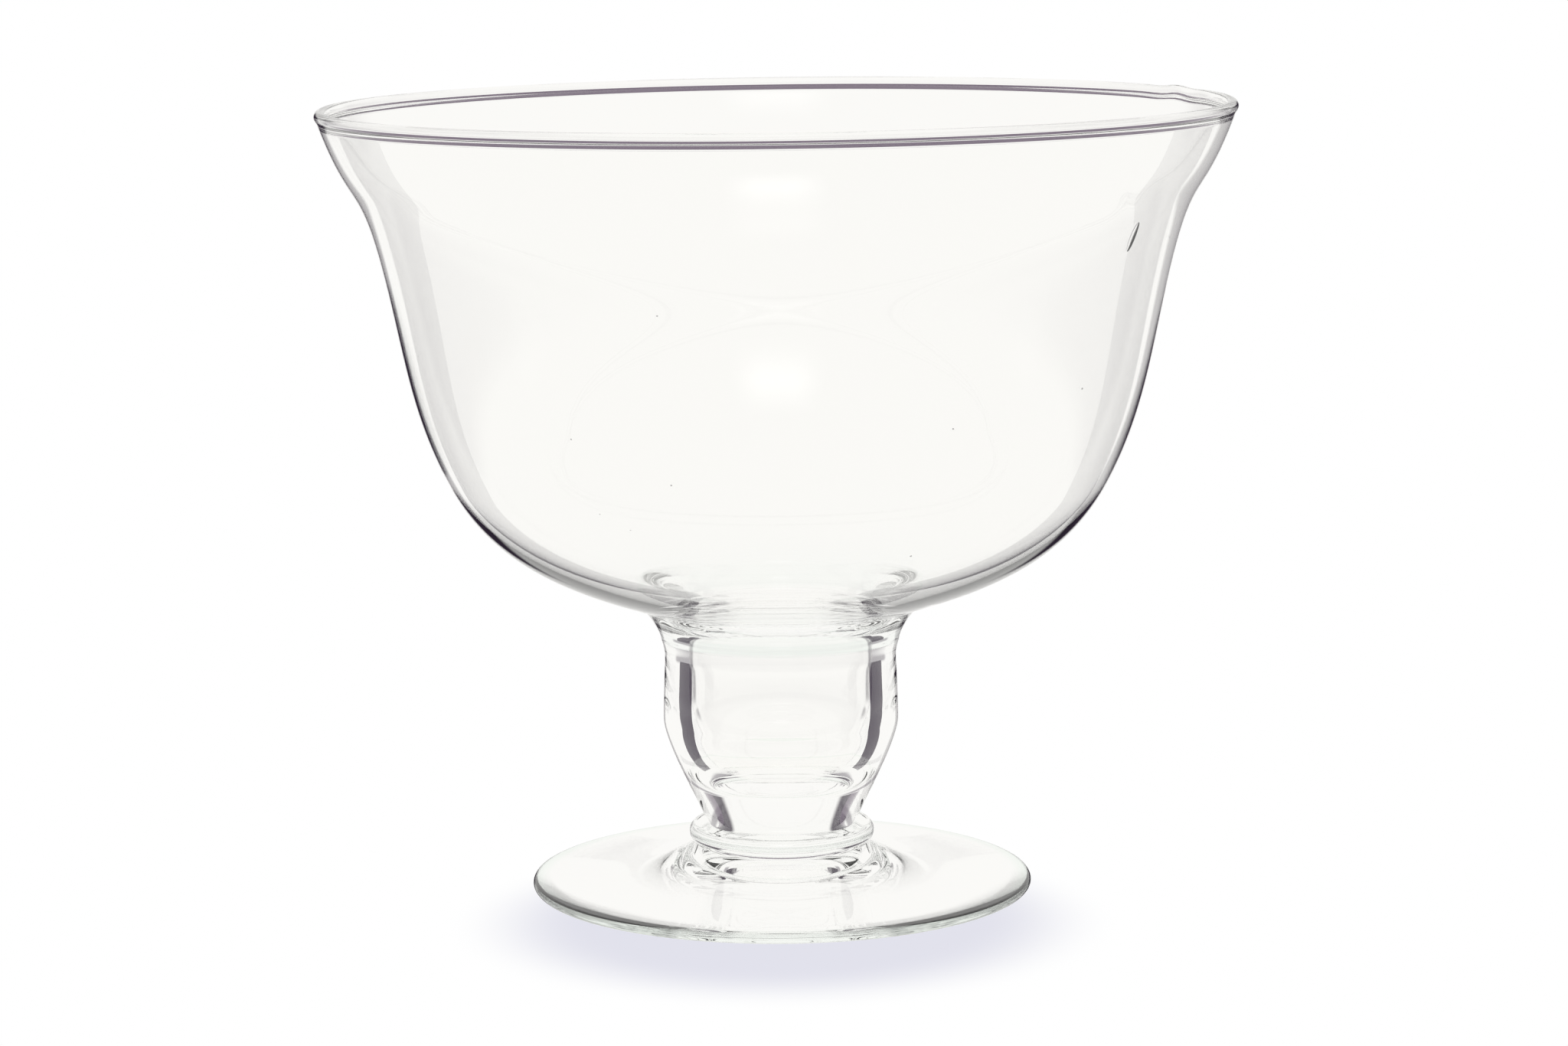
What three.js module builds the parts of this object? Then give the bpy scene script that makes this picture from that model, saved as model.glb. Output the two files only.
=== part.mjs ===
// Footed punch bowl in clear hand-blown glass.
//
// Four hot-worked pieces stand on one vertical axis and meet at flat fused joints:
// a flared bowl that opens into its neck, a thick hollow stem, a collar ring and a
// spread foot. Millimetres, +Z up, origin on the axis at the table surface.

import * as THREE from 'three';
import { mergeVertices } from 'three/addons/utils/BufferGeometryUtils.js';

// ---- driving dimensions -------------------------------------------------------

const HEIGHT = 260.5;
const RIM_RADIUS = 150;
const BEAD_RADIUS = 2;            // fire-polished bead that rounds the rim
const BEAD_SPAN = [Math.PI * 7 / 6, -Math.PI / 6];  // from inside the wall, over, to outside
const SEGMENTS = 48;              // facets round the axis

const WAIST = { r: 128.6, z: 207 };     // where the flare becomes the wall
const SHOULDER = { r: 108.5, z: 137 };  // where the wall turns under
const UNDERSIDE = { r: 48, z: 95.7 };   // where the underside turns into the neck
const LIP = { r: RIM_RADIUS - 0.9, z: HEIGHT - 4 };  // top of the flare, under the bead
const FLARE_LEAN = 0.343;               // angles from the vertical, in radians
const WAIST_LEAN = 0.23;
const SHOULDER_LEAN = 0.485;
const UNDERSIDE_RISE = 0.32;            // angle from the horizontal

// How far each curve of the wall follows its lean before it turns.
const FLARE_PULL = [31, 33];
const WALL_PULL = [26.5, 27];
const UNDERSIDE_PULL = [28.7, 26];
const NECK_PULL = 3.6;
const NECK_FLARE = { out: 1, up: 4 };   // how the neck opens just above its joint

const WALL_AT_RIM = 2.4;
const WALL_AT_WAIST = 2.1;
const WALL_AT_SHOULDER = 2.7;
const WALL_AT_UNDERSIDE = 3.6;

const JOINT_Z = 84;               // flat fused joint between neck and stem
const NECK_RADIUS = 39.7;         // outside of the neck at that joint
const WELL_RADIUS = 30;           // bore shared by the neck and the stem's well
const THROAT_Z = 86;              // where the inside of the bowl has turned down into the well
const THROAT_PULL = [6, 9];
const STEM_TOP = { r: 38.5, z: 78 };
const STEM_BULGE = { r: 39.2, z: 57 };
const STEM_FOOT = { r: 24.9, z: 21.5 };
const STEM_FOOT_LEAN = 0.3;
const NECK_TAPER = { in: 0.5, down: 2 };  // how the stem draws in just below the joint
const TAPER_PULL = 2;
const CHEEK_PULL = [3, 8];        // from the top of the stem out to its bulge
const STEM_PULL = [8.6, 4.4];     // from the bulge in to the collar
const WELL_TURN_Z = 68;           // where the well starts to close
const WELL_FLOOR = { r: 11, z: 36 };
const WELL_PULL = [8, 14];

const COLLAR_RADIUS = 30.9;
const COLLAR_SHOULDER = { r: 29.2, z: STEM_FOOT.z - 0.4 };
const COLLAR_BASE = { r: 28.8, z: 14.5 };
const COLLAR_PULL = [1, 2];

const FOOT_RADIUS = 83.4;
const FOOT_EDGE = 3.2;            // thickness at the rounded edge
const REST_RING = 77;             // inner radius of the flat ring that stands on the table
const HOLLOW = { r: 14, z: 8.5 }; // raised centre of the underside
const FOOT_SWEEP = [{ r: 34, z: 11.4 }, { r: 60, z: FOOT_EDGE + 1.4 }];   // bends the top
const FOOT_VAULT = [{ r: 58, z: 0.9 }, { r: 38, z: HOLLOW.z - 0.5 }];     // bends the underside

// ---- outline helpers ------------------------------------------------------------

const point = (r, z) => new THREE.Vector2(r, z);

// A point set back from p by a length along a lean from the vertical.
const leaning = (p, length, lean) => point(p.r - length * Math.sin(lean), p.z - length * Math.cos(lean));

// A point set off from p by a length along a rise from the horizontal.
const rising = (p, length, rise) => point(p.r + length * Math.cos(rise), p.z + length * Math.sin(rise));

function curve(start, startHandle, endHandle, end, steps) {
  return new THREE.CubicBezierCurve(start, startHandle, endHandle, end).getPoints(steps);
}

function arc(centre, radius, fromAngle, toAngle, steps) {
  const points = [];
  for (let i = 0; i <= steps; i += 1) {
    const angle = THREE.MathUtils.lerp(fromAngle, toAngle, i / steps);
    points.push(point(centre.x + radius * Math.cos(angle), centre.y + radius * Math.sin(angle)));
  }
  return points;
}

// Joins stretches of outline end to end and drops the points they share.
function chain(...stretches) {
  const outline = [];
  for (const p of stretches.flat()) {
    const last = outline[outline.length - 1];
    if (!last || last.distanceTo(p) > 1e-6) outline.push(p);
  }
  return outline;
}

// The outline set inwards, by a thickness that may change along it.
function insetBy(outline, thicknessAt) {
  return outline.map((p, i) => {
    const before = outline[Math.max(i - 1, 0)];
    const after = outline[Math.min(i + 1, outline.length - 1)];
    const along = after.clone().sub(before).normalize();
    return point(p.x + along.y * thicknessAt(p.y), p.y - along.x * thicknessAt(p.y));
  });
}

// Turns an outline about Z. Outlines here run down the outside of a piece, and the
// lathe takes them the other way round.
function turned(outline) {
  const lathe = new THREE.LatheGeometry([...outline].reverse(), SEGMENTS);
  lathe.deleteAttribute('normal');
  lathe.deleteAttribute('uv');
  const welded = mergeVertices(lathe, 1e-4);
  welded.rotateX(Math.PI / 2);
  const corners = welded.index.array;
  const kept = [];
  for (let i = 0; i < corners.length; i += 3) {
    const [a, b, c] = [corners[i], corners[i + 1], corners[i + 2]];
    if (a !== b && b !== c && c !== a) kept.push(a, b, c);
  }
  welded.setIndex(kept);
  return welded;
}

// ---- bowl --------------------------------------------------------------------------

// Outside of the bowl, from just under the rim bead down to the neck joint.
function bowlOutside() {
  const flare = curve(
    point(LIP.r, LIP.z), leaning(LIP, FLARE_PULL[0], FLARE_LEAN),
    leaning(WAIST, -FLARE_PULL[1], WAIST_LEAN), point(WAIST.r, WAIST.z), 8,
  );
  const wall = curve(
    point(WAIST.r, WAIST.z), leaning(WAIST, WALL_PULL[0], WAIST_LEAN),
    leaning(SHOULDER, -WALL_PULL[1], SHOULDER_LEAN), point(SHOULDER.r, SHOULDER.z), 6,
  );
  const turnUnder = curve(
    point(SHOULDER.r, SHOULDER.z), leaning(SHOULDER, UNDERSIDE_PULL[0], SHOULDER_LEAN),
    rising(UNDERSIDE, UNDERSIDE_PULL[1], UNDERSIDE_RISE), point(UNDERSIDE.r, UNDERSIDE.z), 9,
  );
  const neck = curve(
    point(UNDERSIDE.r, UNDERSIDE.z), rising(UNDERSIDE, -NECK_PULL, UNDERSIDE_RISE),
    point(NECK_RADIUS + NECK_FLARE.out, JOINT_Z + NECK_FLARE.up), point(NECK_RADIUS, JOINT_Z), 4,
  );
  return { wall: chain(flare, wall, turnUnder), neck };
}

function bowlOutline() {
  const { wall, neck } = bowlOutside();
  const { smoothstep, lerp } = THREE.MathUtils;
  const thicknessAt = (z) => {
    if (z > WAIST.z) return lerp(WALL_AT_WAIST, WALL_AT_RIM, smoothstep(z, WAIST.z, HEIGHT));
    if (z > SHOULDER.z) return lerp(WALL_AT_SHOULDER, WALL_AT_WAIST, smoothstep(z, SHOULDER.z, WAIST.z));
    return lerp(WALL_AT_UNDERSIDE, WALL_AT_SHOULDER, smoothstep(z, UNDERSIDE.z, SHOULDER.z));
  };
  const inside = insetBy(wall, thicknessAt);
  const brink = inside[inside.length - 1];
  const throat = curve(
    brink, rising({ r: brink.x, z: brink.y }, -THROAT_PULL[0], UNDERSIDE_RISE),
    point(WELL_RADIUS, THROAT_Z + THROAT_PULL[1]), point(WELL_RADIUS, THROAT_Z), 8,
  );
  const bead = arc(
    point(RIM_RADIUS - BEAD_RADIUS, HEIGHT - BEAD_RADIUS), BEAD_RADIUS, ...BEAD_SPAN, 8,
  );
  const upInside = chain(inside, throat, [point(WELL_RADIUS, JOINT_Z)]).reverse();
  const outline = chain(upInside, bead, wall, neck);
  return [...outline, outline[0].clone()];
}

// ---- stem --------------------------------------------------------------------------

function stemOutline() {
  const outside = chain(
    curve(point(NECK_RADIUS, JOINT_Z), point(NECK_RADIUS - NECK_TAPER.in, JOINT_Z - NECK_TAPER.down),
      point(STEM_TOP.r, STEM_TOP.z + TAPER_PULL), point(STEM_TOP.r, STEM_TOP.z), 3),
    curve(point(STEM_TOP.r, STEM_TOP.z), point(STEM_TOP.r, STEM_TOP.z - CHEEK_PULL[0]),
      point(STEM_BULGE.r, STEM_BULGE.z + CHEEK_PULL[1]), point(STEM_BULGE.r, STEM_BULGE.z), 5),
    curve(point(STEM_BULGE.r, STEM_BULGE.z), point(STEM_BULGE.r, STEM_BULGE.z - STEM_PULL[0]),
      leaning(STEM_FOOT, -STEM_PULL[1], STEM_FOOT_LEAN), point(STEM_FOOT.r, STEM_FOOT.z), 9),
  );
  const well = chain(
    [point(0, WELL_FLOOR.z)],
    curve(point(WELL_FLOOR.r, WELL_FLOOR.z), point(WELL_FLOOR.r + WELL_PULL[0], WELL_FLOOR.z),
      point(WELL_RADIUS, WELL_TURN_Z - WELL_PULL[1]), point(WELL_RADIUS, WELL_TURN_Z), 11),
    [point(WELL_RADIUS, JOINT_Z)],
  );
  return chain(well, outside, [point(0, STEM_FOOT.z)]);
}

// ---- collar ------------------------------------------------------------------------

function collarOutline() {
  // The curve reaches three quarters of the way out to its handles.
  const ends = (COLLAR_SHOULDER.r + COLLAR_BASE.r) / 2;
  const reach = ends + (COLLAR_RADIUS - ends) * 4 / 3;
  return chain(
    [point(0, STEM_FOOT.z), point(STEM_FOOT.r, STEM_FOOT.z)],
    curve(point(COLLAR_SHOULDER.r, COLLAR_SHOULDER.z), point(reach, COLLAR_SHOULDER.z - COLLAR_PULL[0]),
      point(reach, COLLAR_BASE.z + COLLAR_PULL[1]), point(COLLAR_BASE.r, COLLAR_BASE.z), 6),
    [point(0, COLLAR_BASE.z)],
  );
}

// ---- foot --------------------------------------------------------------------------

function footOutline() {
  const edge = FOOT_EDGE / 2;
  const bulgeCentre = point(FOOT_RADIUS - edge, edge);
  const top = curve(
    point(COLLAR_BASE.r, COLLAR_BASE.z), point(FOOT_SWEEP[0].r, FOOT_SWEEP[0].z),
    point(FOOT_SWEEP[1].r, FOOT_SWEEP[1].z), point(FOOT_RADIUS - edge, FOOT_EDGE), 9,
  );
  const underside = curve(
    point(REST_RING, 0), point(FOOT_VAULT[0].r, FOOT_VAULT[0].z),
    point(FOOT_VAULT[1].r, FOOT_VAULT[1].z), point(HOLLOW.r, HOLLOW.z), 9,
  );
  return chain(
    [point(0, COLLAR_BASE.z)],
    top,
    arc(bulgeCentre, edge, Math.PI / 2, -Math.PI / 2, 6),
    underside,
    [point(0, HOLLOW.z)],
  );
}

// ---- assembly ----------------------------------------------------------------------

function clearGlass(tint) {
  return new THREE.MeshStandardMaterial({
    color: tint, roughness: 0.02, metalness: 0, transparent: true, opacity: 0.35,
  });
}

function piece(name, outline, tint) {
  const mesh = new THREE.Mesh(turned(outline), clearGlass(tint));
  mesh.name = name;
  return mesh;
}

const punchBowl = new THREE.Group();
punchBowl.add(
  piece('bowl', bowlOutline(), 0xf4f7f4),
  piece('stem', stemOutline(), 0xf0f5f1),
  piece('collar', collarOutline(), 0xe2efe6),
  piece('foot', footOutline(), 0xecf3ee),
);

export default punchBowl;
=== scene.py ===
"""Looks of a clear blown-glass punch bowl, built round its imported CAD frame. Metres, +Z up."""

import math

import bmesh
import bpy
import numpy as np
from mathutils import Matrix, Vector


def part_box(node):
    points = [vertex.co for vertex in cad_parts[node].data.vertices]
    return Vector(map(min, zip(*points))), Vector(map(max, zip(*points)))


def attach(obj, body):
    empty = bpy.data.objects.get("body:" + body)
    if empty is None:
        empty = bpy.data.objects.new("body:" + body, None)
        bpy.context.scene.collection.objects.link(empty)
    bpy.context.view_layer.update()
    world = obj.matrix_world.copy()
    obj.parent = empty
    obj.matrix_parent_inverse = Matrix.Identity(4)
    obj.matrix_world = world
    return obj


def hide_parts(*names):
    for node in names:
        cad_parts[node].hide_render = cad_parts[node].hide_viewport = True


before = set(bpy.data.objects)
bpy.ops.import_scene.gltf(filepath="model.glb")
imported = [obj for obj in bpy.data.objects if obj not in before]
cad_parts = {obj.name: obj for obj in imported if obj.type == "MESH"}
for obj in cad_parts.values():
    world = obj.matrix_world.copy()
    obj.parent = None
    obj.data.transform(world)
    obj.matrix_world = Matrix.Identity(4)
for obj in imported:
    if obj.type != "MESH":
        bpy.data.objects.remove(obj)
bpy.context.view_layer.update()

# ---- driving dimensions, in metres ---------------------------------------------------

MM = 0.001
SEGMENTS = 240                 # facets round the axis
RIM_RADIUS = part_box("bowl")[1].x
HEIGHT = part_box("bowl")[1].z
JOINT_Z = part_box("bowl")[0].z
STEM_FOOT_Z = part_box("stem")[0].z
COLLAR_BASE_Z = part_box("collar")[0].z
FOOT_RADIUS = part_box("foot")[1].x

BEAD_RADIUS = 2.0 * MM         # fire-polished bead that rounds the rim
BEAD_SPAN = (math.radians(205), math.radians(-30))  # from inside the wall, over, to outside
LIP = (RIM_RADIUS - 0.9 * MM, HEIGHT - 4 * MM)      # top of the flare, under the bead
WAIST = (128.6 * MM, 207 * MM)                      # where the flare becomes the wall
SHOULDER = (108.5 * MM, 137 * MM)                   # where the wall turns under
UNDERSIDE = (48 * MM, 95.7 * MM)                    # where the underside turns into the neck
FLARE_LEAN = 0.343             # angles from the vertical, in radians
WAIST_LEAN = 0.23
SHOULDER_LEAN = 0.485
UNDERSIDE_RISE = 0.32          # angle from the horizontal

# How far each curve of the wall follows its lean before it turns.
FLARE_PULL = (31 * MM, 33 * MM)
WALL_PULL = (26.5 * MM, 27 * MM)
UNDERSIDE_PULL = (28.7 * MM, 26 * MM)
NECK_PULL = 3.6 * MM
NECK_FLARE = (1 * MM, 4 * MM)  # how far out and up the neck opens above its joint

WALL_AT_RIM = 2.4 * MM
WALL_AT_WAIST = 2.1 * MM
WALL_AT_SHOULDER = 2.7 * MM
WALL_AT_UNDERSIDE = 3.6 * MM

NECK_RADIUS = 39.7 * MM
WELL_RADIUS = 30 * MM
THROAT_PULL = (6 * MM, 9 * MM)
THROAT_Z = 86 * MM             # where the well starts below the bowl's inside
STEM_TOP = (38.5 * MM, 78 * MM)
STEM_BULGE = (39.2 * MM, 57 * MM)
STEM_FOOT = (24.9 * MM, STEM_FOOT_Z)
STEM_FOOT_LEAN = 0.3
NECK_TAPER = (0.5 * MM, 2 * MM)  # how far in and down the stem draws below the joint
TAPER_PULL = 2 * MM
CHEEK_PULL = (3 * MM, 8 * MM)    # from the top of the stem out to its bulge
STEM_PULL = (8.6 * MM, 4.4 * MM)   # from the bulge in to the collar
WELL_TURN_Z = 66 * MM          # where the well starts to close
WELL_FLOOR = (11 * MM, 36 * MM)
WELL_PULL = (9 * MM, 20 * MM)
COLLAR_BULGE = 31.5 * MM       # pulls the collar's side out to a radius of 30.9 mm
COLLAR_SHOULDER = (29.2 * MM, STEM_FOOT_Z - 0.4 * MM)
COLLAR_BASE = (28.8 * MM, COLLAR_BASE_Z)
COLLAR_PULL = (1 * MM, 2 * MM)
FOOT_EDGE = 3.2 * MM           # thickness at the rounded edge
REST_RING = 77 * MM            # inner radius of the flat ring that stands on the table
HOLLOW = (14 * MM, 8.5 * MM)   # raised centre of the underside
FOOT_SWEEP = ((34 * MM, 11.4 * MM), (60 * MM, FOOT_EDGE + 1.4 * MM))  # bends the top
FOOT_VAULT = ((58 * MM, 0.9 * MM), (38 * MM, HOLLOW[1] - 0.5 * MM))   # bends the underside
SEAM = 0.015 * MM              # each fused face stands back by this from its joint

# ---- hand-made unevenness, bubbles and tints -----------------------------------------

SWELL = 0.35 * MM              # how far the rim is out of round
SWELL_TURNS = (0.6, 2.1)       # turns of its oval and of its three soft corners, in radians
CORNER_SHARE = 0.5             # the corners' share of the swell
RIM_LIFT = 0.75 * MM           # half of what the front of the rim stands above the back
RIM_TILT = 0.8 * MM            # what the right of the rim stands above the axis
RIPPLE = 0.55 * MM             # height of the unevenness at one place on the rim
RIPPLE_AT = 0.4                # its angle round the axis from +X, and its spread
RIPPLE_SPREAD = 0.09
RIPPLE_WAVES = 2.4
RIPPLE_FADE = 4                # how fast it dies away below the rim, as a power

LEAF = {"angle": -0.583, "z": 0.852 * HEIGHT, "tall": 10 * MM, "wide": 3.6 * MM, "lean": -0.17}
LEAF_THICKNESS = 0.8 * MM
SEED_SIZES = (0.4 * MM, 0.7 * MM)   # tiny round bubbles in the wall
SEED_COUNT = 14
SEED_HEIGHTS = (1.1 * UNDERSIDE[1], 0.95 * HEIGHT)

GLASS_IOR = 1.5
WALL_TINT = (0.997, 0.997, 0.991)
THROAT_TINT = (0.955, 0.977, 0.962)
STEM_TINT = (0.985, 0.993, 0.98)
DEEP_TINT = (0.9, 0.955, 0.915)     # where the glass is thick and shows its green
CORD_SCALE = 22                # slow noise that moves the edge of a tint
CORD_DETAIL = 1.5
CORD_REACH = 0.3               # how far it moves it, as a share of the tint's own span
SWIRL_SCALE = 14               # slow noise that ripples the surface
SWIRL_DETAIL = 0.5
SWIRL_DEPTH = 0.12 * MM

# ---- studio. Patches are azimuths from and to, elevations from and to, and softness ---

WHITE = (0.965, 0.958, 0.94)
DARK = (0.05, 0.035, 0.06)
ROOM = (0.17, 0.13, 0.18)
MIRRORED_ROOM = (0.4, 0.38, 0.4)
SOFTBOX = (1.9, 1.9, 1.9)
# colour of the shadow painted on the floor in front of the foot
SHADOW = (0.76, 0.76, 0.84)
SIDE_CARDS = (31, 62, -18, 45, 2.5)
EDGE_CARDS = ((11, 28, -24, 3, 2), (-22, -11, -24, 3, 2))
ROOM_BAND = (28, 189, -7, 11, 4)
SOFTBOX_PATCH = (168, 189, 27, 38, 7)
MANY_BOUNCES = 2.5             # light mirrored more often than this sees plain white

CARD_NEAR = 0.05               # the table cards, by radius and by degrees from the back
CARD_FAR = 1.2
CARD_FROM = 40
CARD_TO = 66
CARD_STEPS = 12
CARD_DROP = 0.6 * MM
RING_RADIUS = 0.6              # the dark ring that hangs round the rim
RING_SPAN = (0.33, 0.56)
RING_STEPS = 64
FLOOR_RADIUS = 3
FLOOR_STEPS = 96
FLOOR_DROP = 0.3 * MM
# where the shadow painted on the floor sits and how far it spreads
SHADOW_CENTRE = (0, -0.6 * FOOT_RADIUS, 0)
SHADOW_REACH = (1.35 * FOOT_RADIUS, 0.7 * FOOT_RADIUS)  # where it ends and where it is full

LENS = 100.7                   # camera lens and sensor in millimetres, angles in degrees
SENSOR = 36
SHIFT = 0.0029
PITCH = 9.24
ROLL = -0.45
CAMERA_PLACE = (0, -1.435, 0.3555)


# ---- outlines ------------------------------------------------------------------------

def leaning(p, length, lean):
    """A point set back from p by a length along a lean from the vertical."""
    return (p[0] - length * math.sin(lean), p[1] - length * math.cos(lean))


def rising(p, length, rise):
    """A point set off from p by a length along a rise from the horizontal."""
    return (p[0] + length * math.cos(rise), p[1] + length * math.sin(rise))


def curve(start, start_handle, end_handle, end, steps):
    t = np.linspace(0, 1, steps + 1)[:, None]
    a, b, c, d = (np.array(p, float) for p in (start, start_handle, end_handle, end))
    return (1 - t) ** 3 * a + 3 * (1 - t) ** 2 * t * b + 3 * (1 - t) * t * t * c + t ** 3 * d


def arc(centre, radius, start, end, steps):
    angle = np.linspace(start, end, steps + 1)
    return np.array(centre) + radius * np.stack([np.cos(angle), np.sin(angle)], 1)


def line(start, end, steps):
    t = np.linspace(0, 1, steps + 1)[:, None]
    return np.array(start) * (1 - t) + np.array(end) * t


def chain(*stretches):
    """Joins stretches of outline and drops the points they share."""
    outline = []
    for p in np.concatenate(stretches):
        if not outline or np.linalg.norm(outline[-1] - p) > 1e-7:
            outline.append(p)
    return np.array(outline)


def inset(outline, thickness):
    along = np.gradient(outline, axis=0)
    along /= np.linalg.norm(along, axis=1)[:, None]
    return outline + np.stack([along[:, 1], -along[:, 0]], 1) * thickness[:, None]


def smooth(value, low, high):
    t = np.clip((value - low) / (high - low), 0, 1)
    return t * t * (3 - 2 * t)


def bowl_wall():
    """The outside of the bowl from its lip to its underside, and the wall's thickness."""
    wall = chain(
        curve(LIP, leaning(LIP, FLARE_PULL[0], FLARE_LEAN),
              leaning(WAIST, -FLARE_PULL[1], WAIST_LEAN), WAIST, 40),
        curve(WAIST, leaning(WAIST, WALL_PULL[0], WAIST_LEAN),
              leaning(SHOULDER, -WALL_PULL[1], SHOULDER_LEAN), SHOULDER, 36),
        curve(SHOULDER, leaning(SHOULDER, UNDERSIDE_PULL[0], SHOULDER_LEAN),
              rising(UNDERSIDE, UNDERSIDE_PULL[1], UNDERSIDE_RISE), UNDERSIDE, 48),
    )
    z = wall[:, 1]
    thickness = np.where(
        z > WAIST[1],
        WALL_AT_WAIST + (WALL_AT_RIM - WALL_AT_WAIST) * smooth(z, WAIST[1], HEIGHT),
        np.where(
            z > SHOULDER[1],
            WALL_AT_SHOULDER
            + (WALL_AT_WAIST - WALL_AT_SHOULDER) * smooth(z, SHOULDER[1], WAIST[1]),
            WALL_AT_UNDERSIDE
            + (WALL_AT_SHOULDER - WALL_AT_UNDERSIDE) * smooth(z, UNDERSIDE[1], SHOULDER[1]),
        ),
    )
    return wall, thickness


def bowl_outline():
    wall, thickness = bowl_wall()
    neck_end = (NECK_RADIUS, JOINT_Z + SEAM)
    neck = curve(UNDERSIDE, rising(UNDERSIDE, -NECK_PULL, UNDERSIDE_RISE),
                 (NECK_RADIUS + NECK_FLARE[0], JOINT_Z + NECK_FLARE[1]), neck_end, 20)
    inside = inset(wall, thickness)
    brink = inside[-1]
    throat = chain(
        curve(brink, rising(brink, -THROAT_PULL[0], UNDERSIDE_RISE),
              (WELL_RADIUS, THROAT_Z + THROAT_PULL[1]), (WELL_RADIUS, THROAT_Z), 28),
        line((WELL_RADIUS, THROAT_Z), (WELL_RADIUS, JOINT_Z + SEAM), 6),
    )
    bead = arc((RIM_RADIUS - BEAD_RADIUS, HEIGHT - BEAD_RADIUS), BEAD_RADIUS, *BEAD_SPAN, 28)
    joint = line(neck_end, (WELL_RADIUS, JOINT_Z + SEAM), 4)
    return chain(chain(inside, throat)[::-1], bead, wall, neck, joint)


def stem_outline():
    top = JOINT_Z - SEAM
    base = STEM_FOOT[1] + SEAM
    well = chain(
        line((0, WELL_FLOOR[1]), WELL_FLOOR, 8),
        curve(WELL_FLOOR, (WELL_FLOOR[0] + WELL_PULL[0], WELL_FLOOR[1]),
              (WELL_RADIUS, WELL_TURN_Z - WELL_PULL[1]), (WELL_RADIUS, WELL_TURN_Z), 44),
        line((WELL_RADIUS, WELL_TURN_Z), (WELL_RADIUS, top), 10),
    )
    outside = chain(
        curve((NECK_RADIUS, top), (NECK_RADIUS - NECK_TAPER[0], top - NECK_TAPER[1]),
              (STEM_TOP[0], STEM_TOP[1] + TAPER_PULL), STEM_TOP, 14),
        curve(STEM_TOP, (STEM_TOP[0], STEM_TOP[1] - CHEEK_PULL[0]),
              (STEM_BULGE[0], STEM_BULGE[1] + CHEEK_PULL[1]), STEM_BULGE, 22),
        curve(STEM_BULGE, (STEM_BULGE[0], STEM_BULGE[1] - STEM_PULL[0]),
              leaning(STEM_FOOT, -STEM_PULL[1], STEM_FOOT_LEAN), (STEM_FOOT[0], base), 40),
    )
    return chain(well, line((WELL_RADIUS, top), (NECK_RADIUS, top), 4), outside,
                 line((STEM_FOOT[0], base), (0, base), 8))


def collar_outline():
    top = STEM_FOOT[1] - SEAM
    base = COLLAR_BASE[1] + SEAM
    return chain(
        line((0, top), (STEM_FOOT[0], top), 8),
        line((STEM_FOOT[0], top), COLLAR_SHOULDER, 6),
        curve(COLLAR_SHOULDER, (COLLAR_BULGE, COLLAR_SHOULDER[1] - COLLAR_PULL[0]),
              (COLLAR_BULGE, base + COLLAR_PULL[1]), (COLLAR_BASE[0], base), 28),
        line((COLLAR_BASE[0], base), (0, base), 8),
    )


def foot_outline():
    edge = FOOT_EDGE / 2
    top = COLLAR_BASE[1] - SEAM
    return chain(
        line((0, top), (COLLAR_BASE[0], top), 8),
        curve((COLLAR_BASE[0], top), *FOOT_SWEEP, (FOOT_RADIUS - edge, FOOT_EDGE), 48),
        arc((FOOT_RADIUS - edge, edge), edge, math.pi / 2, -math.pi / 2, 20),
        curve((REST_RING, 0), *FOOT_VAULT, HOLLOW, 40),
        line(HOLLOW, (0, HOLLOW[1]), 6),
    )


# ---- hand-made irregularity ----------------------------------------------------------

def hand_made(co):
    """The slow unevenness of blown glass. It is the same on both sides of every joint."""
    angle = np.arctan2(co[:, 1], co[:, 0])
    radius = np.hypot(co[:, 0], co[:, 1])
    z = co[:, 2]
    rise = smooth(z, JOINT_Z, HEIGHT)
    oval, corners = np.cos(2 * angle + SWELL_TURNS[0]), np.cos(3 * angle + SWELL_TURNS[1])
    swell = SWELL * rise * (oval + CORNER_SHARE * corners)
    moved = co.copy()
    factor = 1 + swell / np.maximum(radius, 1 * MM)
    moved[:, 0] *= factor
    moved[:, 1] *= factor
    moved[:, 2] += rise * (RIM_LIFT * (1 - np.sin(angle)) + RIM_TILT * np.cos(angle))
    across = (angle - RIPPLE_AT) / RIPPLE_SPREAD
    ripple = np.exp(-across ** 2) * np.cos(RIPPLE_WAVES * across)
    moved[:, 2] += RIPPLE * rise ** RIPPLE_FADE * ripple
    return moved


# ---- materials -----------------------------------------------------------------------

def new_material(name):
    material = bpy.data.materials.new(name)
    material.use_nodes = True
    material.node_tree.nodes.clear()
    return material, material.node_tree


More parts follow.
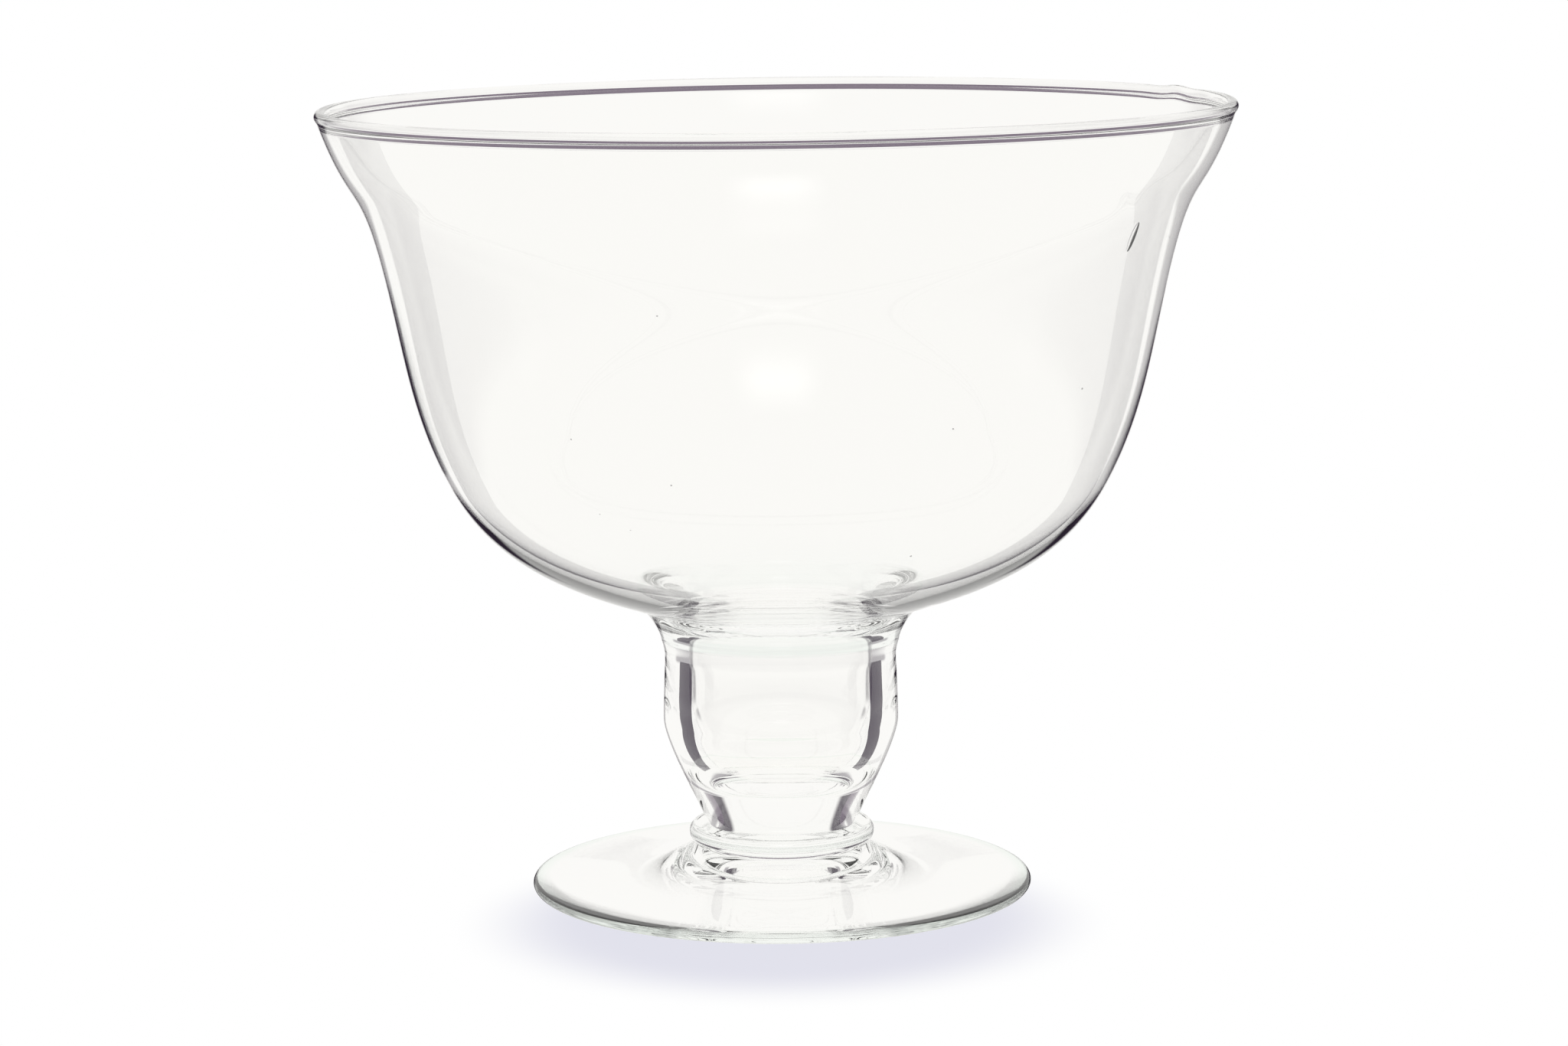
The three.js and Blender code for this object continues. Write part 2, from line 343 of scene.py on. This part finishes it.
def glass(name, tint, deep, measure, start, end):
    """Clear glass that turns from one tint to a deeper one along its height or radius. A slow
    ripple in its surface bends what is seen through it, as in blown glass."""
    material, tree = new_material(name)
    link = tree.links.new
    out = tree.nodes.new("ShaderNodeOutputMaterial")
    shader = tree.nodes.new("ShaderNodeBsdfPrincipled")
    shader.inputs["Roughness"].default_value = 0
    shader.inputs["IOR"].default_value = GLASS_IOR
    shader.inputs["Transmission Weight"].default_value = 1
    link(shader.outputs[0], out.inputs["Surface"])

    place = tree.nodes.new("ShaderNodeTexCoord").outputs["Object"]
    split = tree.nodes.new("ShaderNodeSeparateXYZ")
    link(place, split.inputs[0])
    if measure == "height":
        distance = split.outputs["Z"]
    else:
        flat = tree.nodes.new("ShaderNodeCombineXYZ")
        link(split.outputs["X"], flat.inputs["X"])
        link(split.outputs["Y"], flat.inputs["Y"])
        length = tree.nodes.new("ShaderNodeVectorMath")
        length.operation = "LENGTH"
        link(flat.outputs[0], length.inputs[0])
        distance = length.outputs["Value"]
    cords = tree.nodes.new("ShaderNodeTexNoise")
    cords.inputs["Scale"].default_value = CORD_SCALE
    cords.inputs["Detail"].default_value = CORD_DETAIL
    link(place, cords.inputs["Vector"])
    wander = tree.nodes.new("ShaderNodeMath")
    wander.operation = "MULTIPLY_ADD"
    link(cords.outputs["Fac"], wander.inputs[0])
    wander.inputs[1].default_value = CORD_REACH * (end - start)
    link(distance, wander.inputs[2])
    depth = tree.nodes.new("ShaderNodeMapRange")
    depth.interpolation_type = "SMOOTHSTEP"
    link(wander.outputs[0], depth.inputs["Value"])
    depth.inputs["From Min"].default_value = start
    depth.inputs["From Max"].default_value = end
    colour = tree.nodes.new("ShaderNodeMix")
    colour.data_type = "RGBA"
    link(depth.outputs["Result"], colour.inputs[0])
    colour.inputs[6].default_value = (*tint, 1)
    colour.inputs[7].default_value = (*deep, 1)
    link(colour.outputs[2], shader.inputs["Base Color"])

    swirl = tree.nodes.new("ShaderNodeTexNoise")
    swirl.inputs["Scale"].default_value = SWIRL_SCALE
    swirl.inputs["Detail"].default_value = SWIRL_DETAIL
    link(place, swirl.inputs["Vector"])
    ripple = tree.nodes.new("ShaderNodeBump")
    ripple.inputs["Strength"].default_value = 1
    ripple.inputs["Distance"].default_value = SWIRL_DEPTH
    link(swirl.outputs["Fac"], ripple.inputs["Height"])
    link(ripple.outputs[0], shader.inputs["Normal"])
    return material


def fused_face():
    """A face where two pieces are melted together, which light crosses without bending."""
    material, tree = new_material("fused_face")
    out = tree.nodes.new("ShaderNodeOutputMaterial")
    clear = tree.nodes.new("ShaderNodeBsdfTransparent")
    tree.links.new(clear.outputs[0], out.inputs["Surface"])
    return material


# ---- meshes --------------------------------------------------------------------------

def turned(name, outline, closed, joints):
    """Turns an outline about Z. Its faces at the heights in joints are fused faces."""
    points, rings = [], []
    turn = np.linspace(0, 2 * math.pi, SEGMENTS, endpoint=False)
    for r, z in outline:
        if r < 1e-7:
            rings.append([len(points)])
            points.append((0, 0, z))
        else:
            rings.append(list(range(len(points), len(points) + SEGMENTS)))
            points.extend(zip(r * np.cos(turn), r * np.sin(turn), [z] * SEGMENTS))
    faces = []
    pairs = list(zip(rings, rings[1:] + rings[:1]))
    for a, b in pairs if closed else pairs[:-1]:
        for i in range(SEGMENTS):
            j = (i + 1) % SEGMENTS
            if len(a) == 1:
                faces.append((a[0], b[i], b[j]))
            elif len(b) == 1:
                faces.append((a[i], b[0], a[j]))
            else:
                faces.append((a[i], b[i], b[j], a[j]))
    at_rest = np.array(points)
    mesh = bpy.data.meshes.new(name)
    mesh.from_pydata(hand_made(at_rest).tolist(), [], faces)
    mesh.update()
    form = bmesh.new()
    form.from_mesh(mesh)
    bmesh.ops.recalc_face_normals(form, faces=form.faces)
    for face in form.faces:
        face.smooth = True
        heights = at_rest[[v.index for v in face.verts], 2]
        if any(np.all(np.abs(heights - z) < 2 * SEAM) for z in joints):
            face.material_index = 1
            face.smooth = False
    for edge in form.edges:
        if len({f.material_index for f in edge.link_faces}) == 2:
            edge.smooth = False
    form.to_mesh(mesh)
    form.free()
    return bpy.data.objects.new(name, mesh)


def add_piece(node, outline, closed, joints, materials):
    piece = turned("glass_" + node, outline, closed, joints)
    bpy.context.scene.collection.objects.link(piece)
    for material in materials:
        piece.data.materials.append(material)
    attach(piece, "root")
    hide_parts(node)
    return piece


def blow_bubble(form, angle, z, size, lean):
    """A pocket of air in the middle of the bowl's wall, so its faces look inwards. Its size is
    given through the wall, round the bowl and up the wall."""
    wall, thickness = bowl_wall()
    middle = inset(wall, thickness / 2)[::-1]
    radius = np.interp(z, middle[:, 1], middle[:, 0])
    slope = np.interp(z, middle[:, 1], np.gradient(middle[:, 0], middle[:, 1]))
    centre = hand_made(np.array([[radius * math.cos(angle), radius * math.sin(angle), z]]))[0]
    place = (Matrix.Translation(centre) @ Matrix.Rotation(angle, 4, "Z")
             @ Matrix.Rotation(math.atan(slope), 4, "Y") @ Matrix.Rotation(lean, 4, "X")
             @ Matrix.Diagonal((*size, 1)))
    made = bmesh.ops.create_uvsphere(form, u_segments=24, v_segments=14, radius=0.5, matrix=place)
    faces = list({face for vert in made["verts"] for face in vert.link_faces})
    bmesh.ops.reverse_faces(form, faces=faces)
    for face in faces:
        face.smooth = True


def blow_bubbles(piece):
    """One leaf-shaped bubble and a scatter of seeds."""
    form = bmesh.new()
    form.from_mesh(piece.data)
    blow_bubble(form, LEAF["angle"], LEAF["z"], (LEAF_THICKNESS, LEAF["wide"], LEAF["tall"]),
                LEAF["lean"])
    scatter = np.random.default_rng(5)
    for _ in range(SEED_COUNT):
        size = scatter.uniform(*SEED_SIZES)
        blow_bubble(form, scatter.uniform(-math.pi, math.pi),
                    scatter.uniform(*SEED_HEIGHTS), (size, size, size), 0)
    form.to_mesh(piece.data)
    form.free()


# ---- stage ---------------------------------------------------------------------------

def world_light():
    """A white studio with dark cards in it, which draw the edges of clear glass. Light that
    only passed through the glass meets the side cards. Light that was mirrored in it meets the
    edge cards, a dimmer room and a soft light instead."""
    world = bpy.data.worlds.new("studio")
    bpy.context.scene.world = world
    world.use_nodes = True
    tree = world.node_tree
    tree.nodes.clear()
    link = tree.links.new

    def maths(operation, *values):
        made = tree.nodes.new("ShaderNodeMath")
        made.operation = operation
        for socket, value in zip(made.inputs, values):
            if isinstance(value, (int, float)):
                socket.default_value = value
            else:
                link(value, socket)
        return made.outputs[0]

    def step(value, low, high):
        made = tree.nodes.new("ShaderNodeMapRange")
        made.interpolation_type = "SMOOTHSTEP"
        link(value, made.inputs["Value"])
        made.inputs["From Min"].default_value = low
        made.inputs["From Max"].default_value = high
        return made.outputs["Result"]

    def mixed(factor, a, b):
        made = tree.nodes.new("ShaderNodeMix")
        made.data_type = "RGBA"
        link(factor, made.inputs[0])
        for socket, value in zip(made.inputs[6:8], (a, b)):
            if isinstance(value, tuple):
                socket.default_value = (*value, 1)
            else:
                link(value, socket)
        return made.outputs[2]

    path = tree.nodes.new("ShaderNodeLightPath")
    way = tree.nodes.new("ShaderNodeSeparateXYZ")
    link(tree.nodes.new("ShaderNodeTexCoord").outputs["Generated"], way.inputs[0])
    turn = maths("MULTIPLY", maths("ARCTAN2", way.outputs["X"], way.outputs["Y"]), 180 / math.pi)
    azimuth = maths("ABSOLUTE", turn)
    elevation = maths("MULTIPLY", maths("ARCSINE", way.outputs["Z"]), 180 / math.pi)

    def patch(across, left, right, low, high, soft):
        """1 inside a patch of sky, with soft sides. Angles are in degrees."""
        inside = maths("MULTIPLY", step(across, left - soft, left + soft),
                       step(across, right + soft, right - soft))
        level = maths("MULTIPLY", step(elevation, low - soft, low + soft),
                      step(elevation, high + soft, high - soft))
        return maths("MULTIPLY", inside, level)

    through = mixed(patch(azimuth, *SIDE_CARDS), WHITE, DARK)
    edge_cards = maths("MAXIMUM", *[patch(turn, *card) for card in EDGE_CARDS])
    first_bounce = maths("LESS_THAN", path.outputs["Transmission Depth"], 0.5)
    edge_cards = maths("MULTIPLY", edge_cards, first_bounce)
    mirrored = mixed(patch(azimuth, *ROOM_BAND), WHITE, MIRRORED_ROOM)
    mirrored = mixed(edge_cards, mirrored, DARK)
    mirrored = mixed(patch(azimuth, *SOFTBOX_PATCH), mirrored, SOFTBOX)
    bounces = path.outputs["Glossy Depth"]
    mirrored = mixed(maths("GREATER_THAN", bounces, MANY_BOUNCES), mirrored, WHITE)
    glass_light = mixed(maths("GREATER_THAN", bounces, 0.5), through, mirrored)
    colour = mixed(path.outputs["Is Camera Ray"], glass_light, (1, 1, 1))
    background = tree.nodes.new("ShaderNodeBackground")
    link(colour, background.inputs["Color"])
    output = tree.nodes.new("ShaderNodeOutputWorld")
    link(background.outputs[0], output.inputs["Surface"])


def floor():
    """A white table with a soft shadow painted on it in front of the foot. Glass sees the studio
    through it, so it only shows to the camera.
    """
    mesh = bpy.data.meshes.new("floor")
    form = bmesh.new()
    bmesh.ops.create_circle(form, cap_ends=True, segments=FLOOR_STEPS, radius=FLOOR_RADIUS)
    form.to_mesh(mesh)
    form.free()
    plane = bpy.data.objects.new("floor", mesh)
    plane.location.z = -FLOOR_DROP
    plane.visible_transmission = False
    plane.visible_glossy = False
    bpy.context.scene.collection.objects.link(plane)
    material, tree = new_material("floor_white_painted_shadow")
    link = tree.links.new
    gap = tree.nodes.new("ShaderNodeVectorMath")
    gap.operation = "DISTANCE"
    link(tree.nodes.new("ShaderNodeNewGeometry").outputs["Position"], gap.inputs[0])
    gap.inputs[1].default_value = SHADOW_CENTRE
    # painted shadow: the floor's glow turns from white to SHADOW near the foot
    ramp = tree.nodes.new("ShaderNodeMapRange")
    ramp.interpolation_type = "SMOOTHERSTEP"
    link(gap.outputs["Value"], ramp.inputs["Value"])
    ramp.inputs["From Min"].default_value = SHADOW_REACH[0]
    ramp.inputs["From Max"].default_value = SHADOW_REACH[1]
    tone = tree.nodes.new("ShaderNodeMix")
    tone.data_type = "RGBA"
    link(ramp.outputs["Result"], tone.inputs[0])
    tone.inputs[6].default_value = (1, 1, 1, 1)
    tone.inputs[7].default_value = (*SHADOW, 1)
    shader = tree.nodes.new("ShaderNodeEmission")
    link(tone.outputs[2], shader.inputs["Color"])
    output = tree.nodes.new("ShaderNodeOutputMaterial")
    link(shader.outputs[0], output.inputs["Surface"])
    plane.data.materials.append(material)


def table_cards():
    """Two dark cards on the table, which only show where the glass mirrors them."""
    mesh = bpy.data.meshes.new("table_cards")
    points, faces = [], []
    for side in (-1, 1):
        for step in range(CARD_STEPS + 1):
            angle = side * math.radians(CARD_FROM + (CARD_TO - CARD_FROM) * step / CARD_STEPS)
            for reach in (CARD_NEAR, CARD_FAR):
                points.append((reach * math.sin(angle), reach * math.cos(angle), -CARD_DROP))
            if step:
                last = len(points)
                faces.append((last - 4, last - 3, last - 1, last - 2))
    mesh.from_pydata(points, [], faces)
    cards = bpy.data.objects.new("table_cards", mesh)
    cards.visible_camera = False
    bpy.context.scene.collection.objects.link(cards)
    material, tree = new_material("card_black")
    link = tree.links.new
    path = tree.nodes.new("ShaderNodeLightPath")
    mirrored = tree.nodes.new("ShaderNodeMath")
    mirrored.operation = "GREATER_THAN"
    link(path.outputs["Glossy Depth"], mirrored.inputs[0])
    mirrored.inputs[1].default_value = 0.5
    inside = tree.nodes.new("ShaderNodeMath")
    inside.operation = "GREATER_THAN"
    link(path.outputs["Transmission Depth"], inside.inputs[0])
    inside.inputs[1].default_value = 1.5
    seen = tree.nodes.new("ShaderNodeMath")
    seen.operation = "MULTIPLY"
    link(mirrored.outputs[0], seen.inputs[0])
    link(inside.outputs[0], seen.inputs[1])
    black = tree.nodes.new("ShaderNodeEmission")
    black.inputs["Color"].default_value = (*DARK, 1)
    pick = tree.nodes.new("ShaderNodeMixShader")
    link(seen.outputs[0], pick.inputs[0])
    link(tree.nodes.new("ShaderNodeBsdfTransparent").outputs[0], pick.inputs[1])
    link(black.outputs[0], pick.inputs[2])
    output = tree.nodes.new("ShaderNodeOutputMaterial")
    link(pick.outputs[0], output.inputs["Surface"])
    cards.data.materials.append(material)


def dark_ring():
    """A dark band that hangs round the bowl above its rim, which draws the rim bead."""
    mesh = bpy.data.meshes.new("dark_ring")
    points, faces = [], []
    for step in range(RING_STEPS):
        angle = 2 * math.pi * step / RING_STEPS
        for z in RING_SPAN:
            points.append((RING_RADIUS * math.sin(angle), RING_RADIUS * math.cos(angle), z))
        first, after = 2 * step, 2 * ((step + 1) % RING_STEPS)
        faces.append((first, first + 1, after + 1, after))
    mesh.from_pydata(points, [], faces)
    ring = bpy.data.objects.new("dark_ring", mesh)
    ring.visible_camera = False
    bpy.context.scene.collection.objects.link(ring)
    material, tree = new_material("ring_dark")
    link = tree.links.new
    mirrored = tree.nodes.new("ShaderNodeMath")
    mirrored.operation = "GREATER_THAN"
    link(tree.nodes.new("ShaderNodeLightPath").outputs["Glossy Depth"], mirrored.inputs[0])
    mirrored.inputs[1].default_value = 0.5
    dark = tree.nodes.new("ShaderNodeEmission")
    dark.inputs["Color"].default_value = (*ROOM, 1)
    pick = tree.nodes.new("ShaderNodeMixShader")
    link(mirrored.outputs[0], pick.inputs[0])
    link(dark.outputs[0], pick.inputs[1])
    link(tree.nodes.new("ShaderNodeBsdfTransparent").outputs[0], pick.inputs[2])
    output = tree.nodes.new("ShaderNodeOutputMaterial")
    link(pick.outputs[0], output.inputs["Surface"])
    ring.data.materials.append(material)


def camera():
    data = bpy.data.cameras.new("camera")
    data.lens = LENS
    data.sensor_width = SENSOR
    data.shift_x = SHIFT
    view = bpy.data.objects.new("camera", data)
    aim = (Matrix.Rotation(math.radians(90 - PITCH), 4, "X")
           @ Matrix.Rotation(math.radians(ROLL), 4, "Z"))
    view.matrix_world = Matrix.Translation(CAMERA_PLACE) @ aim
    bpy.context.scene.collection.objects.link(view)
    bpy.context.scene.camera = view


# ---- assembly ------------------------------------------------------------------------

seam = fused_face()
wall_glass = glass("wall_glass", THROAT_TINT, WALL_TINT, "height", JOINT_Z, 1.35 * JOINT_Z)
stem_glass = glass("stem_glass", STEM_TINT, WALL_TINT, "height", STEM_FOOT_Z, WELL_FLOOR[1])
collar_glass = glass("collar_glass", DEEP_TINT, STEM_TINT, "height", 0, STEM_FOOT_Z)
foot_glass = glass("foot_glass", WALL_TINT, DEEP_TINT, "radius", 0.93 * FOOT_RADIUS, FOOT_RADIUS)

bowl = add_piece("bowl", bowl_outline(), True, [JOINT_Z], [wall_glass, seam])
blow_bubbles(bowl)
add_piece("stem", stem_outline(), False, [JOINT_Z, STEM_FOOT_Z], [stem_glass, seam])
add_piece("collar", collar_outline(), False, [STEM_FOOT_Z, COLLAR_BASE_Z], [collar_glass, seam])
add_piece("foot", foot_outline(), False, [COLLAR_BASE_Z], [foot_glass, seam])

world_light()
floor()
table_cards()
dark_ring()
camera()

scene = bpy.context.scene
scene.view_settings.view_transform = "Standard"
scene.cycles.max_bounces = 32
scene.cycles.transmission_bounces = 32
scene.cycles.glossy_bounces = 16
scene.cycles.transparent_max_bounces = 32
